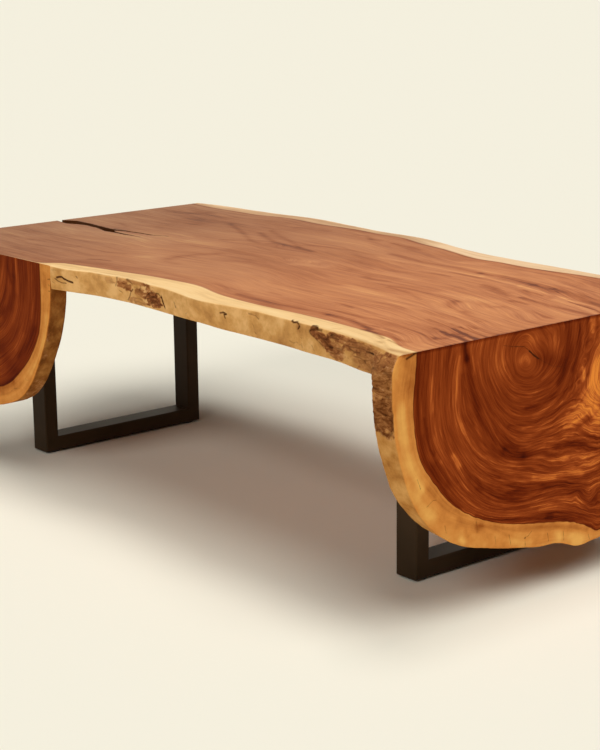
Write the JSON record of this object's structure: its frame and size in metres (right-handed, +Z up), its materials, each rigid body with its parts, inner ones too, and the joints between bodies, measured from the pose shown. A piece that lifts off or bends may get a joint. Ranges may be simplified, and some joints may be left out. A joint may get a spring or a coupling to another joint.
{
  "type": "coffee table",
  "caption": "Low live edge waterfall table: a slab top mitred into a half-round end panel and a half-round front panel, on steel frames with levelling feet.",
  "frame": {"origin": "on the floor, under the middle of the table's outline", "axes": "+X along the table towards the full half-round end panel, +Y towards the back edge, away from the straight front cut, +Z up"},
  "size_m": [1.476, 0.8029, 0.45],
  "materials": {
    "slab_wood": "oiled long grain, satin",
    "panel_wood": "polished end grain, satin",
    "tenon_wood": "plain beech",
    "frame_steel": "dark bronze powder coat, satin",
    "zinc_steel": "zinc plated",
    "foot_plastic": "moulded nylon"
  },
  "bodies": {
    "table": {"top_slab": "slab_wood", "right_end_panel": "panel_wood", "front_left_panel": "panel_wood", "right_joint_tenons": "tenon_wood", "front_joint_tenons": "tenon_wood", "left_front_post": "frame_steel", "left_rear_post": "frame_steel", "left_floor_rail": "frame_steel", "left_top_plate": "frame_steel", "left_frame_bolts": "zinc_steel", "left_frame_washers": "zinc_steel", "left_slab_inserts": "zinc_steel", "left_foot_nuts": "zinc_steel", "right_front_post": "frame_steel", "right_rear_post": "frame_steel", "right_floor_rail": "frame_steel", "right_top_plate": "frame_steel", "right_frame_bolts": "zinc_steel", "right_frame_washers": "zinc_steel", "right_slab_inserts": "zinc_steel", "right_foot_nuts": "zinc_steel"},
    "left_front_foot": {"left_front_foot_stud": "zinc_steel", "left_front_foot_pad": "foot_plastic"},
    "left_rear_foot": {"left_rear_foot_stud": "zinc_steel", "left_rear_foot_pad": "foot_plastic"},
    "right_front_foot": {"right_front_foot_stud": "zinc_steel", "right_front_foot_pad": "foot_plastic"},
    "right_rear_foot": {"right_rear_foot_stud": "zinc_steel", "right_rear_foot_pad": "foot_plastic"}
  },
  "joints": [
    {"name": "left_front_foot_height", "type": "slide", "parent": "table", "child": "left_front_foot", "axis": [0, 0, -1], "range_m": [0, 0.008]},
    {"name": "left_rear_foot_height", "type": "slide", "parent": "table", "child": "left_rear_foot", "axis": [0, 0, -1], "range_m": [0, 0.008]},
    {"name": "right_front_foot_height", "type": "slide", "parent": "table", "child": "right_front_foot", "axis": [0, 0, -1], "range_m": [0, 0.008]},
    {"name": "right_rear_foot_height", "type": "slide", "parent": "table", "child": "right_rear_foot", "axis": [0, 0, -1], "range_m": [0, 0.008]}
  ]
}
